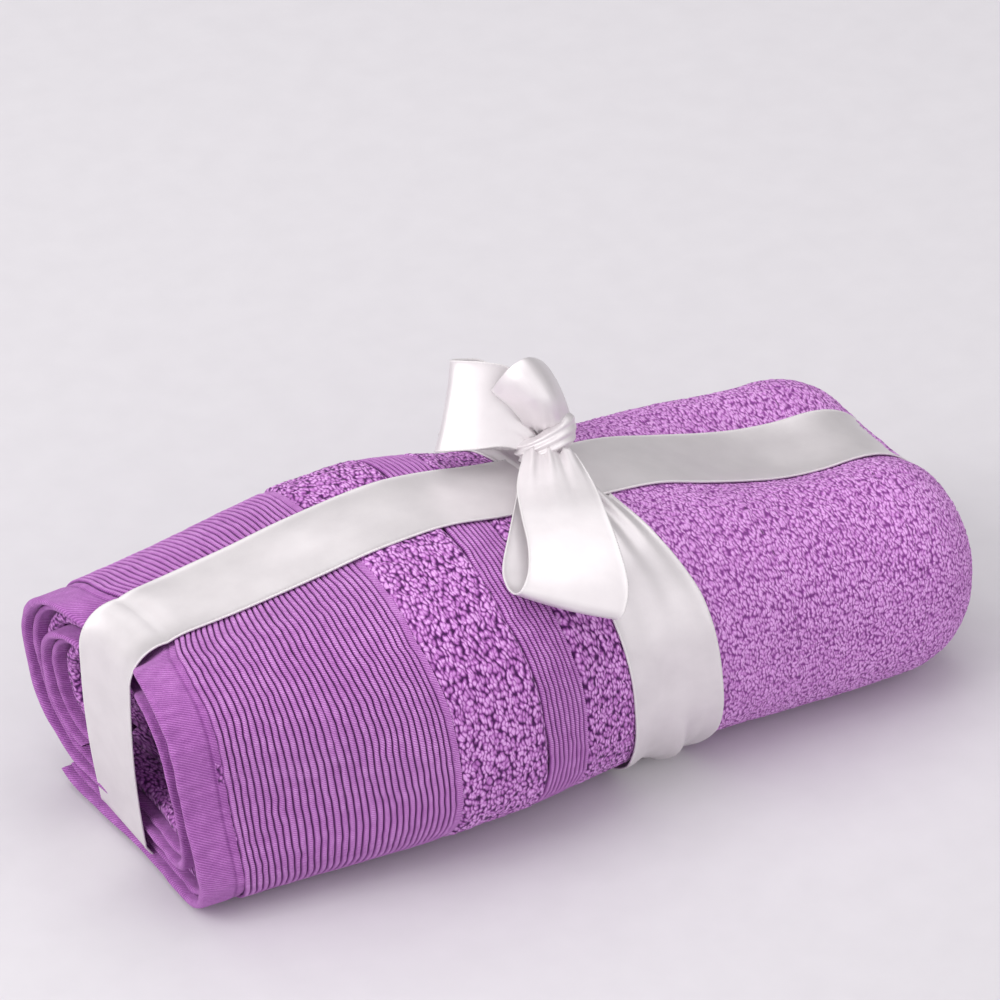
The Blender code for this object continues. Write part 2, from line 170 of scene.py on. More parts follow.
def settle(x, y, z):
    """Moves a point of the plain roll to where the cloth leans, sags and is pressed."""
    hem = ramp(x, -0.085, HEM_END_X)
    near_hem = ramp(x, -0.070, HEM_END_X)
    top = np.clip((z - 0.010) / 0.090, 0, 1)
    back = np.clip(y / 0.077, -1, 1)
    front = np.clip(-back, 0, 1)
    under_ribbon = np.exp(-(((y - RIBBON_Y) / 0.030) ** 4))
    swollen = np.clip(1 - ((z - 0.062) / 0.066) ** 2, 0, 1)
    held_in = np.exp(-(((y - RIBBON_Y) / 0.024) ** 4))
    lean = hem * (TOP_LEAN * top * (1 - 0.8 * held_in) + BACK_LEAN * np.clip(back, 0, 1) - FOOT_LEAN)
    lean = lean + hem * BULGE_LEAN * ramp(front, 0.15, 0.7) * swollen
    skew = SKEW * ramp(x, -0.165, -0.095) * ramp(x, 0.140, 0.050) * front * (1 - top) ** 0.7
    tucked = HEM_TUCK * near_hem * front * swollen
    pressed = under_ribbon * top**3
    rim = ramp(x, HEM_END_X + RIM_REACH, HEM_END_X)
    sunk = np.exp(-(((y - RIBBON_Y - 0.002) / 0.031) ** 4)) * top**3
    dip = held_in * top**3 * RIM_PRESS * rim + pressed * RIBBON_PRESS
    dip = dip + sunk * RIBBON_SINK * ramp(x, 0.040, 0.135)
    dip = dip + BACK_SAG * near_hem * top * np.clip(back, 0, 1)
    swell = BROAD_SWELL * drift(x, y, z, 0.046, 3) + FINE_SWELL * drift(x, y, z, 0.019, 4)
    far_top = FAR_SWELL * ramp(x, 0.05, 0.11) * ramp(x, 0.150, 0.120) * top * np.clip(back, 0, 1)
    out_y = np.where(np.abs(y) > 0.045, np.sign(y) * (np.abs(y) - 0.045) / 0.032, 0)
    return x - lean + skew, y + tucked + swell * out_y, z - dip + (swell + far_top) * top


def roll_surface(x, angle, depth=0.0):
    """A point of the roll at x, this deep below its outer face. Angle 0 is the back, 90 degrees the top."""
    height, width = eased(x, HEIGHTS), eased(x, WIDTHS)
    squeeze = (height + FLOOR_SAG) / (BELLY_HEIGHT + FLOOR_SAG)
    depth = np.where(depth > 0, depth * squeeze, depth)
    cos, sin = np.cos(angle), np.sin(angle)
    across = np.sign(cos) * np.abs(cos) ** (2 / ROUNDNESS)
    up = np.sign(sin) * np.abs(sin) ** (2 / ROUNDNESS)
    y = np.maximum(width / 2 - depth, 0.004) * across
    z = (height - FLOOR_SAG) / 2 + np.maximum((height + FLOOR_SAG) / 2 - depth, 0.002) * up
    z = UNDERSIDE + softened_max(z, depth, 0.002)
    return np.stack(np.broadcast_arrays(*settle(x + 0 * y, y, z)), axis=-1)


def surface_top(x, y, clearance=0.0):
    """A point on top of the roll, straight above x and y."""
    height, width = eased(x, HEIGHTS), eased(x, WIDTHS)
    share = np.clip(np.abs(y) / (width / 2), 0, 0.999)
    z = (height - FLOOR_SAG) / 2 + (height + FLOOR_SAG) / 2 * (1 - share**ROUNDNESS) ** (1 / ROUNDNESS)
    x2, y2, z2 = settle(x, y, UNDERSIDE + z)
    return np.stack(np.broadcast_arrays(x2, y2, z2 + clearance), axis=-1)


def winding(turns):
    """The angle and the depth of the stack's outer face, this many turns in from its free edge."""
    whole = np.floor(turns + 1e-9)
    t = ramp(turns - whole, STEP_DOWN_FROM, 1)
    return FREE_EDGE_ANGLE - 2 * math.pi * turns, WINDING_PITCH * (whole + t)


def even_turns(start, end, rows, depth=0.0):
    """Numbers of turns from start to end, evenly spaced along the cloth, and the cloth's length at each."""
    turns = np.linspace(start, end, 3000)
    angle, wound = winding(turns)
    points = roll_surface(BELLY_X, angle, wound + depth)
    length = np.concatenate([[0], np.cumsum(np.linalg.norm(np.diff(points, axis=0), axis=1))])
    wanted = np.linspace(0, length[-1], rows)
    return np.interp(wanted, length, turns), wanted


def body_columns(x, depth):
    """Columns of a wound piece on the straight part of the roll."""
    x = np.asarray(x, float)
    return {
        "x": x,
        "depth": np.zeros_like(x) + depth,
        "sweep": np.zeros_like(x),
        "lip": np.full_like(x, -1.0),
    }


def fold_columns(sweeps, depth):
    """Columns round the rounded fold end, at these angles."""
    sweeps = np.asarray(sweeps, float)
    return {
        "x": np.full_like(sweeps, FOLD_START_X),
        "depth": np.zeros_like(sweeps) + depth,
        "sweep": sweeps,
        "lip": np.full_like(sweeps, -1.0),
    }


def lip_columns(count, outer, inner):
    """Columns round the folded lip, from its outer face to its inner face."""
    return {
        "x": np.full(count, FOLD_START_X),
        "depth": np.full(count, outer),
        "sweep": np.full(count, inner),
        "lip": np.linspace(0, 1, count + 2)[1:-1],
    }


def joined(*columns):
    return {key: np.concatenate([c[key] for c in columns]) for key in columns[0]}


def on_fold(sweep, depth):
    radius = np.maximum(FOLD_END_RADIUS - depth, 0.0012)
    return FOLD_START_X + radius * np.sin(sweep), depth + radius * (1 - np.cos(sweep))


def wound(turns, columns):
    """Points of a piece that winds with the towel: a row for each turn value, a column for each place."""
    angle, pitch = winding(turns)
    angle, pitch = angle[:, None], pitch[:, None]
    depth = pitch + columns["depth"][None, :]
    x, d = on_fold(columns["sweep"][None, :], depth)
    x = np.where(columns["sweep"] > 0, x, columns["x"][None, :])
    lip = columns["lip"][None, :]
    outer_x, outer_d = on_fold(FOLD_END_SWEEP, depth)
    inner_x, inner_d = on_fold(FOLD_END_SWEEP, pitch + columns["sweep"][None, :])
    half_x, half_d = (outer_x - inner_x) / 2, (outer_d - inner_d) / 2
    size = np.hypot(half_x, half_d)
    cos, sin = np.cos(np.pi * lip), np.sin(np.pi * lip)
    lip_x = (outer_x + inner_x) / 2 + half_x * cos + size * math.cos(FOLD_END_SWEEP) * sin
    lip_d = (outer_d + inner_d) / 2 + half_d * cos + size * math.sin(FOLD_END_SWEEP) * sin
    x, d = np.where(lip >= 0, lip_x, x), np.where(lip >= 0, lip_d, d)
    points = roll_surface(np.minimum(x, FOLD_START_X), angle, d)
    points[..., 0] += np.maximum(x - FOLD_START_X, 0)
    return points


def normals_of(grid):
    across, along = np.gradient(grid, axis=1), np.gradient(grid, axis=0)
    normal = np.cross(along, across)
    return normal / np.maximum(np.linalg.norm(normal, axis=-1, keepdims=True), 1e-12)


# Meshes.

def grid_object(name, grid, material, layers=None, close_rows=False, rim=None):
    """A piece from a grid of points. With rim, the grid's underside, it is a closed shell."""
    rows, columns = grid.shape[:2]
    index = np.arange(rows * columns).reshape(rows, columns)
    if close_rows:
        index = np.vstack([index, index[:1]])
    corners = [index[:-1, :-1], index[1:, :-1], index[1:, 1:], index[:-1, 1:]]
    quads = np.stack(corners, axis=-1).reshape(-1, 4)
    points = grid.reshape(-1, 3)
    if rim is not None:
        under = quads[:, ::-1] + rows * columns
        edge = np.concatenate([index[:, 0], index[-1, 1:], index[::-1, -1][1:], index[0, ::-1][1:]])
        edge_under = edge + rows * columns
        sides = np.stack([edge[1:], edge[:-1], edge_under[:-1], edge_under[1:]], axis=-1)
        quads = np.vstack([quads, under, sides])
        points = np.vstack([points, rim.reshape(-1, 3)])
    mesh = bpy.data.meshes.new(name)
    mesh.vertices.add(len(points))
    mesh.vertices.foreach_set("co", points.astype(np.float32).ravel())
    mesh.loops.add(quads.size)
    mesh.loops.foreach_set("vertex_index", quads.astype(np.int32).ravel())
    mesh.polygons.add(len(quads))
    mesh.polygons.foreach_set("loop_start", np.arange(0, quads.size, 4, dtype=np.int32))
    mesh.polygons.foreach_set("loop_total", np.full(len(quads), 4, dtype=np.int32))
    for key, values in (layers or {}).items():
        values = np.broadcast_to(values, (rows, columns)).ravel()
        if rim is not None:
            values = np.concatenate([values, values])
        layer = mesh.attributes.new(key, "FLOAT", "POINT")
        layer.data.foreach_set("value", values.astype(np.float32))
    mesh.update(calc_edges=True)
    mesh.validate()
    mesh.shade_smooth()
    piece = bpy.data.objects.new(name, mesh)
    bpy.context.scene.collection.objects.link(piece)
    mesh.materials.append(material)
    return piece


# Materials.

def new_group(name, inputs, outputs):
    group = bpy.data.node_groups.new(name, "ShaderNodeTree")
    for label, kind, value in inputs:
        socket = group.interface.new_socket(label, in_out="INPUT", socket_type=kind)
        if value is not None:
            socket.default_value = value
    for label, kind in outputs:
        group.interface.new_socket(label, in_out="OUTPUT", socket_type=kind)
    return group, group.nodes.new("NodeGroupInput"), group.nodes.new("NodeGroupOutput")


def node(tree, kind, settings=None, **inputs):
    """Adds a node. An input is a value or another node's socket; _ in its name stands for a space."""
    made = tree.nodes.new(kind)
    for key, value in (settings or {}).items():
        setattr(made, key, value)
    for key, value in inputs.items():
        socket = made.inputs[int(key[1:])] if key[1:].isdigit() else made.inputs[key.replace("_", " ")]
        if isinstance(value, bpy.types.NodeSocket):
            tree.links.new(value, socket)
        else:
            socket.default_value = value
    return made


def ramp_node(tree, factor, stops):
    """A colour ramp through (position, colour) stops."""
    made = tree.nodes.new("ShaderNodeValToRGB")
    elements = made.color_ramp.elements
    while len(elements) < len(stops):
        elements.new(1.0)
    for element, (position, colour) in zip(elements, stops):
        element.position = position
        element.color = (*colour, 1.0)
    tree.links.new(factor, made.inputs["Fac"])
    return made.outputs["Color"]


def maths(tree, operation, a, b=0.0):
    return node(tree, "ShaderNodeMath", {"operation": operation}, _0=a, _1=b).outputs[0]


def vector(tree, x, y, z=0.0):
    return node(tree, "ShaderNodeCombineXYZ", X=x, Y=y, Z=z).outputs[0]


def vector_maths(tree, operation, **inputs):
    return node(tree, "ShaderNodeVectorMath", {"operation": operation}, **inputs).outputs[0]


def attribute(tree, name):
    return node(tree, "ShaderNodeAttribute", {"attribute_name": name}).outputs["Fac"]


def loops_group():
    """Looped pile from the cloth's own coordinates: rounded cells, longer than wide, with gaps between. The
    Height also darkens the towel colour, as painted shade in the gaps and at the loops' edges.
    """
    group, given, out = new_group(
        "cotton_loops",
        [
            ("Across", "NodeSocketFloat", 0.0),
            ("Along", "NodeSocketFloat", 0.0),
            ("Loop Width", "NodeSocketFloat", 0.0012),
            ("Loop Length", "NodeSocketFloat", 0.0024),
            ("Wander", "NodeSocketFloat", 0.0015),
            ("Gap", "NodeSocketFloat", 0.2),
        ],
        [("Height", "NodeSocketFloat"), ("Shade", "NodeSocketFloat")],
    )
    flat = vector(group, given.outputs["Across"], given.outputs["Along"])
    bend = node(group, "ShaderNodeTexNoise", Vector=flat, Scale=210.0, Detail=1.0).outputs["Color"]
    bend = vector_maths(group, "SUBTRACT", _0=bend, _1=(0.5, 0.5, 0.5))
    bend = vector_maths(group, "SCALE", _0=bend, _3=given.outputs["Wander"])
    bent = vector_maths(group, "ADD", _0=flat, _1=bend)
    size = vector(group, given.outputs["Loop Width"], given.outputs["Loop Length"], 1.0)
    cells = vector_maths(group, "DIVIDE", _0=bent, _1=size)
    cell = node(group, "ShaderNodeTexVoronoi", {"voronoi_dimensions": "2D"}, Vector=cells, Scale=1.0)
    rise = node(
        group,
        "ShaderNodeMapRange",
        {"interpolation_type": "SMOOTHSTEP"},
        _0=cell.outputs["Distance"],
        _1=0.82,
        _2=given.outputs["Gap"],
    ).outputs[0]
    dome = maths(group, "SUBTRACT", 1.08, maths(group, "MULTIPLY", cell.outputs["Distance"], 0.4))
    own = node(group, "ShaderNodeSeparateColor", Color=cell.outputs["Color"]).outputs[0]
    group.links.new(maths(group, "MULTIPLY", rise, dome), out.inputs["Height"])
    group.links.new(maths(group, "ADD", maths(group, "MULTIPLY", own, 0.5), 0.75), out.inputs["Shade"])
    return group


def ribs_group():
    """A corded weave: fine slanting threads on each rib. The Height also darkens the towel colour between the
    threads, as painted shade, with noise that varies the tone.
    """
    group, given, out = new_group(
        "corded_weave",
        [
            ("Across", "NodeSocketFloat", 0.0),
            ("Along", "NodeSocketFloat", 0.0),
            ("Thread", "NodeSocketFloat", 0.0009),
        ],
        [("Height", "NodeSocketFloat")],
    )
    flat = vector(group, given.outputs["Across"], given.outputs["Along"])
    rough = node(group, "ShaderNodeTexNoise", Vector=flat, Scale=1500.0, Detail=2.0).outputs["Fac"]
    lag = maths(group, "MULTIPLY", given.outputs["Across"], 0.7)
    slant = maths(group, "ADD", given.outputs["Along"], lag)
    turns = maths(group, "MULTIPLY", maths(group, "DIVIDE", slant, given.outputs["Thread"]), 2 * math.pi)
    turns = maths(group, "ADD", turns, maths(group, "MULTIPLY", rough, 3.0))
    wave = maths(group, "ADD", maths(group, "MULTIPLY", maths(group, "SINE", turns), 0.25), 0.55)
    group.links.new(maths(group, "ADD", wave, maths(group, "MULTIPLY", rough, 0.4)), out.inputs["Height"])
    return group


def dye_group():
    """Slow changes of dye over the cloth, as a mask round 1."""
    group, given, out = new_group(
        "dye_drift",
        [("Place", "NodeSocketVector", None), ("Strength", "NodeSocketFloat", 0.1)],
        [("Mask", "NodeSocketFloat")],
    )
    broad = node(group, "ShaderNodeTexNoise", Vector=given.outputs["Place"], Scale=24.0, Detail=2.0)
    centred = maths(group, "SUBTRACT", broad.outputs["Fac"], 0.5)
    change = maths(group, "MULTIPLY", centred, given.outputs["Strength"])
    group.links.new(maths(group, "ADD", change, 1.0), out.inputs["Mask"])
    return group


def placed_group(tree, group, **inputs):
    return node(tree, "ShaderNodeGroup", {"node_tree": group}, **inputs).outputs


def new_material(name):
    material = bpy.data.materials.new(name)
    material.use_nodes = True
    tree = material.node_tree
    return material, tree, tree.nodes["Principled BSDF"]


# Towel colours: painted deep shade and painted shade for the gaps and grooves, the orchid dye, and a painted
# highlight for the tops of the loops and ribs.
PAINTED_DEEP_SHADE_ORCHID = (0.060, 0.010, 0.080)
PAINTED_SHADE_ORCHID = (0.235, 0.055, 0.270)
ORCHID = (0.545, 0.200, 0.590)
PAINTED_HIGHLIGHT_ORCHID = (0.770, 0.400, 0.820)


def towel_material(name, roughness, stops, bump):
    """Dyed cotton. A layer on the mesh sets how light the colour is: 0 for painted shade in the folds, gaps
    and grooves of the cloth and 1 where the cloth stands proud; on some pieces it only varies the tone at
    random.
    """
    material, tree, shader = new_material(name)
    place = node(tree, "ShaderNodeTexCoord").outputs["Object"]
    tone_and_painted_shade = attribute(tree, "tone_and_painted_shade")
    across = attribute(tree, "cloth_across")
    along = attribute(tree, "cloth_along")
    dye = placed_group(tree, DYE, Place=place, Strength=0.25)["Mask"]
    height, shade = bump(tree, across, along)
    # The colour's level is that layer times the pile or thread height, so gaps and grooves get painted shade
    # and the tops a painted highlight.
    level = maths(tree, "MULTIPLY", maths(tree, "MULTIPLY", tone_and_painted_shade, height), dye)
    if shade is not None:
        level = maths(tree, "MULTIPLY", level, shade)
    tree.links.new(ramp_node(tree, level, stops), shader.inputs["Base Color"])
    fuzz = node(tree, "ShaderNodeTexNoise", Vector=place, Scale=2600.0, Detail=2.0).outputs["Fac"]
    relief = maths(tree, "ADD", height, maths(tree, "MULTIPLY", fuzz, 0.35))
    lifted = node(tree, "ShaderNodeBump", Height=relief, Strength=0.8, Distance=0.0006)
    tree.links.new(lifted.outputs["Normal"], shader.inputs["Normal"])
    shader.inputs["Roughness"].default_value = roughness
    shader.inputs["Sheen Weight"].default_value = 0.30
    shader.inputs["Sheen Roughness"].default_value = 0.5
    shader.inputs["Sheen Tint"].default_value = (0.90, 0.62, 0.93, 1.0)
    shader.inputs["Specular IOR Level"].default_value = 0.12
    return material


def looped(width, length, wander, gap):
    def bump(tree, across, along):
        loops = placed_group(
            tree,
            LOOPS,
            Across=across,
            Along=along,
            Loop_Width=width,
            Loop_Length=length,
            Wander=wander,
            Gap=gap,
        )
        return loops["Height"], loops["Shade"]

    return bump


def corded(thread):
    def bump(tree, across, along):
        return placed_group(tree, CORDED, Across=across, Along=along, Thread=thread)["Height"], None

    return bump


def satin_material():
    """Satin ribbon with a fine weave and corded selvedges. Its meshes carry across, -1 to 1, and along."""
    material, tree, shader = new_material("silver_satin_weave")
    across, along = attribute(tree, "across"), attribute(tree, "along")
    cloth = vector(tree, maths(tree, "MULTIPLY", across, RIBBON_WIDTH / 2), along)
    bands = {"wave_type": "BANDS", "bands_direction": "Y"}
    weft = node(tree, "ShaderNodeTexWave", bands, Vector=cloth, Scale=700.0, Distortion=1.5, Detail=1.0)
    slubs = node(tree, "ShaderNodeTexNoise", Vector=cloth, Scale=900.0, Detail=3.0)
    streaks = node(tree, "ShaderNodeTexNoise", Vector=cloth, Scale=90.0, Detail=4.0)
    edge = maths(tree, "GREATER_THAN", maths(tree, "ABSOLUTE", across), 0.955)
    stitch = node(tree, "ShaderNodeTexWave", bands, Vector=cloth, Scale=260.0).outputs["Fac"]
    threads = maths(tree, "MULTIPLY", weft.outputs["Fac"], 0.25)
    threads = maths(tree, "ADD", threads, maths(tree, "MULTIPLY", slubs.outputs["Fac"], 0.6))
    stitches = maths(tree, "MULTIPLY", maths(tree, "MULTIPLY", stitch, edge), 3.0)
    height = maths(tree, "ADD", threads, stitches)
    bump = node(tree, "ShaderNodeBump", Height=height, Strength=0.35, Distance=0.0001)
    tree.links.new(bump.outputs["Normal"], shader.inputs["Normal"])
    body = ramp_node(tree, streaks.outputs["Fac"], SATIN_STOPS)
    mix = node(tree, "ShaderNodeMix", {"data_type": "RGBA"}, Factor=edge)
    tree.links.new(body, mix.inputs[6])
    mix.inputs[7].default_value = (0.78, 0.75, 0.76, 1.0)
    tree.links.new(mix.outputs[2], shader.inputs["Base Color"])
    rough = maths(tree, "ADD", maths(tree, "MULTIPLY", slubs.outputs["Fac"], 0.14), 0.38)
    tree.links.new(maths(tree, "ADD", rough, maths(tree, "MULTIPLY", edge, 0.3)), shader.inputs["Roughness"])
    shader.inputs["Metallic"].default_value = 0.55
    shader.inputs["Sheen Weight"].default_value = 0.15
    return material


LOOPS = loops_group()
CORDED = ribs_group()
DYE = dye_group()
# Ramps for the towel colour, from painted shade in the gaps up to a painted highlight on the tops of the pile
# and ribs.
LOOP_STOPS = [(0.0, PAINTED_DEEP_SHADE_ORCHID), (0.25, PAINTED_SHADE_ORCHID), (0.68, ORCHID), (1.0, PAINTED_HIGHLIGHT_ORCHID)]
SOFT_STOPS = [
    (0.0, (0.20, 0.045, 0.235)),
    (0.25, (0.38, 0.115, 0.42)),
    (0.60, (0.58, 0.235, 0.625)),
    (1.0, PAINTED_HIGHLIGHT_ORCHID),
]
PAPER_STOPS = [(0.3, (0.655, 0.635, 0.665)), (0.7, (0.675, 0.655, 0.685))]
SATIN_STOPS = [(0.3, (0.730, 0.690, 0.708)), (0.7, (0.780, 0.740, 0.757))]
TERRY = towel_material("orchid_terry_loops", 0.95, LOOP_STOPS, looped(0.00125, 0.0025, 0.0026, 0.22))
SOFT_TERRY = towel_material("orchid_soft_terry", 0.95, SOFT_STOPS, looped(0.00105, 0.0021, 0.0026, 0.25))
RIBBED = towel_material("orchid_ribbed_border", 0.9, LOOP_STOPS, corded(0.0011))
HEM_WEAVE = towel_material("orchid_hem_weave", 0.85, LOOP_STOPS, corded(0.0014))
SATIN = satin_material()


# The bath towel.

CLOTH_THICKNESS = 0.0026
PILE_LOOP_LENGTH = 0.0028
PILE_LOOP_WIDTH = 0.0018
PILE_EDGE = 0.0022

def add_cloth(name, grid, relief, material, layers, shift=0.0):
    """A towel piece raised by its relief, from a grid whose rows wind inwards, with columns from its rim."""
    grid = grid - normals_of(grid) * np.broadcast_to(relief, grid.shape[:2])[..., None]
    grid[..., 0] += shift
    layers = {key: np.broadcast_to(values, grid.shape[:2])[:, ::-1] for key, values in layers.items()}
    piece = grid_object(name, grid[:, ::-1], material, layers)
    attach(piece, "towel_roll")
    return piece


def thicken(sheet):
    thick = sheet.modifiers.new("cloth thickness", "SOLIDIFY")
    thick.thickness = CLOTH_THICKNESS
    thick.offset = 0


def pile(tall, starts=None, ends=None):
    """Looped pile on the mesh: clumps of loops and their height, and a level for the colour that is low where
    the pile is low, as painted shade in the gaps between loops and clumps.
    """

    def relief(u, v):
        height, shade = loops_of_pile(u, v, PILE_LOOP_LENGTH, PILE_LOOP_WIDTH, 1)
        clumps = 0.5 + 0.5 * drift(u, v, 5, 0.009, 1)
        height = height * (0.7 + 0.3 * shade)
        rise = 0.0006 + tall * (0.8 * height + 0.35 * clumps)
        if starts is not None:
            rise = rise * ramp(u, starts, starts + PILE_EDGE)
        if ends is not None:
            rise = rise * ramp(u, ends, ends - PILE_EDGE)
        # The second value is painted shade: the colour is darker in the gaps between loops and between
        # clumps.
        return rise, np.clip(0.50 + 0.38 * height + 0.20 * clumps, 0, 1), 0.0

    return relief


def ribs(start, count, strip=0.0):
    """The columns and the relief of a border of ribs that run round the roll, with narrow grooves between,
    and painted shade in the grooves.
    """
    places = np.append(np.add.outer(np.arange(count), RIB_STEPS).ravel(), count)
    beyond = np.linspace(0, strip, 6)[1:] if strip else np.zeros(0)
    flat = np.concatenate([np.zeros(len(places)), np.ones(len(beyond))])
    to_groove = np.minimum(places % 1, 1 - places % 1)
    off_groove = np.concatenate([to_groove, np.full(len(beyond), 0.3)])
    rib = np.concatenate([np.round(places), np.full(len(beyond), count)])
    x = np.concatenate([start + places * RIB_PITCH, start + count * RIB_PITCH + beyond])
    columns = body_columns(x, 0)

    def relief(u, v):
        ridge = 1 - np.exp(-((off_groove / 0.135) ** 2))[None, :]
        ridge = ridge * (1 + 0.10 * drift(u, v, 9, 0.004, 13))
        wave = 0.30 * drift(u, v, 7, 0.020, 11) + 0.13 * drift(u, v, 8, 0.006, 12)
        own = 0.10 * drift(rib[None, :] * 7.3, v / 0.004, 0.5, 1.0, 14)
        height = RIB_HEIGHT * ridge * (1 - 0.45 * flat)[None, :]
        # Painted shade: the colour is darker in the grooves between the ribs and a little darker on the lower
        # plain strip.
        tone_and_painted_shade = np.clip(0.90 * ridge * (1 - 0.12 * flat)[None, :] + 0.05 * drift(u, v, 10, 0.003, 15), 0, 1)
        return height, tone_and_painted_shade, (wave + own) * RIB_PITCH

    return columns, relief


def cloth_place(length, x):
    """How far along and across the cloth each point of a grid is."""
    shape = (len(length), len(x))
    return np.broadcast_to(x[None, :], shape), np.broadcast_to(length[:, None], shape)


def column_lengths(turns, columns):
    """The distance along a middle row, from the first column."""
    row = wound(turns[len(turns) // 2 : len(turns) // 2 + 1], columns)[0]
    return np.concatenate([[0], np.cumsum(np.linalg.norm(np.diff(row, axis=0), axis=1))])


def add_pile(name, columns, rows, relief, material, start=0.0, end=1.0):
    """One stretch of the towel's outer face, with its relief in the mesh."""
    turns, length = even_turns(start, end, rows)
    grid = wound(turns, columns)
    u, v = cloth_place(length, column_lengths(turns, columns) + columns["x"][0])
    height, tone_and_painted_shade, shift = relief(u, v)
    layers = {"tone_and_painted_shade": tone_and_painted_shade, "cloth_across": u, "cloth_along": v}
    return add_cloth(name, grid, height, material, layers, shift)


def add_bath_towel():
    """The folded sheet itself, wound two turns, and the pile, borders and hems on what shows of it."""
    outer_runs = np.linspace(WIDE_BORDER_START - 0.002, FOLD_START_X, 60)
    inner_runs = np.linspace(HEM_END_X + 0.009, FOLD_START_X, 60)
    sweeps = np.linspace(0, FOLD_END_SWEEP, 8)[1:]
    middle = [LAYER * (k + 0.55) for k in range(LAYERS)]
    middle_fold_x = HEM_END_X + 0.0078
    path = joined(
        body_columns(outer_runs, middle[0]),
        fold_columns(sweeps, middle[0]),
        lip_columns(5, middle[0], middle[3]),
        fold_columns(sweeps[::-1], middle[3]),
        body_columns(inner_runs[::-1], middle[3]),
        body_columns([middle_fold_x] * 2, np.array([middle[3] - 0.0009, middle[2] + 0.0009])),
        body_columns(inner_runs, middle[2]),
        fold_columns(sweeps, middle[2]),
        lip_columns(3, middle[2], middle[1]),
        fold_columns(sweeps[::-1], middle[1]),
        body_columns(outer_runs[::-1], middle[1]),
    )
    turns, length = even_turns(0, BATH_TURNS, 230)
    grid = wound(turns, path)
    u, v = cloth_place(length, column_lengths(turns, path))
    rough = 0.0003 * drift(u, v, 0, 0.004, 21)
    layers = {"tone_and_painted_shade": 0.72 + 0.2 * drift(u, v, 1, 0.0035, 22), "cloth_across": u, "cloth_along": v}
    sheet = add_cloth("bath_towel_cloth", grid, rough, TERRY, layers)
    thicken(sheet)
    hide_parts("bath_towel_inner_turn", "bath_towel_outer_turn", "bath_towel_middle_fold")

    def columns_between(start, end, step):
        return body_columns(np.linspace(start, end, round((end - start) / step) + 1), 0)

    hems = [
        add_hem_band("front_hem", 0.0, 0.0, 0.0032, "bath_towel_front_hem", 31),
        add_hem_band("back_hem", 0.003, LAYER, 0.0030, "bath_towel_back_hem", 41),
    ]
    half = WIDE_BORDER_RIBS // 2
    half_end = WIDE_BORDER_START + half * RIB_PITCH
    waist_end = (KNOT_X + FOLD_START_X) / 2
    sweeps = np.linspace(0, FOLD_END_SWEEP, 46)
    rounding = joined(fold_columns(sweeps, 0), lip_columns(26, 0, STACK), fold_columns(sweeps[::-3], STACK))
    middle_start = WIDE_BORDER_END + PLAIN_STRIP
    middle_pile = pile(0.0013, middle_start, NARROW_BORDER_START)
    knot_pile = pile(0.0012, NARROW_BORDER_END)
    soft_pile = pile(0.0011)

    def border(name, rows, *where):
        columns, relief = ribs(*where)
        return add_pile(name, columns, rows, relief, RIBBED)

    def terry(name, start, end, step, relief, material):
        return add_pile(name, columns_between(start, end, step), 820, relief, material)

    dressings = [
        border("wide_border_by_hem", 700, WIDE_BORDER_START, half),
        border("wide_border_by_terry", 680, half_end, WIDE_BORDER_RIBS - half, PLAIN_STRIP),
        border("narrow_border", 700, NARROW_BORDER_START, NARROW_BORDER_RIBS),
        terry("middle_terry", middle_start, NARROW_BORDER_START, 0.00055, middle_pile, TERRY),
        terry("knot_terry", NARROW_BORDER_END, KNOT_X, 0.00055, knot_pile, TERRY),
        terry("waist_terry", KNOT_X, waist_end, 0.00065, soft_pile, SOFT_TERRY),
        terry("fold_end_terry", waist_end, FOLD_START_X, 0.00065, soft_pile, SOFT_TERRY),
        add_pile("fold_end_rounding", rounding, 760, soft_pile, SOFT_TERRY),
        add_pile("inner_fold_rounding", rounding, 420, pile(0.0008), SOFT_TERRY, 1.0, 2.0),
    ]


def add_hem_band(name, setback, depth, thickness, node_name, seed):
    """A flat woven hem, folded over at the rim, wound with the cloth."""
    edge = HEM_END_X + setback
    half = thickness / 2
    outer = np.linspace(WIDE_BORDER_START - 0.0001, edge + half, 30)
    turn = np.linspace(0, math.pi, 9)[1:-1]
    profile_x = np.concatenate([outer, edge + half - half * np.sin(turn), outer[::-1]])
    flat = np.full(len(outer), 1.0)
    profile_d = np.concatenate([flat * depth, depth + half - half * np.cos(turn), flat * (depth + thickness)])
    turns, length = even_turns(0, BATH_TURNS, 760)
    columns = body_columns(profile_x[::-1], profile_d[::-1])
    grid = wound(turns, columns)
    u, v = cloth_place(length, column_lengths(turns, columns))
    seam = np.exp(-(((np.broadcast_to(columns["x"][None, :], u.shape) - edge - HEM_SEAM) / 0.0005) ** 2))
    height = -0.0005 * seam + 0.0004 * drift(u, v, 2, 0.008, seed)
    # A level for the hem colour: random tone, set low overall partly as painted shade, with painted shade
    # along the sunken seam line.
    tone_and_painted_shade = np.clip(0.64 + 0.10 * drift(u, v, 3, 0.003, seed + 1) - 0.25 * seam, 0, 1)
    layers = {"tone_and_painted_shade": tone_and_painted_shade, "cloth_across": u, "cloth_along": v}
    band = add_cloth(name, grid, height, HEM_WEAVE, layers)
    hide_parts(node_name)
    return band


# The hand towel.

HAND_LAYER = 0.0034
HAND_TURNS = 2.35


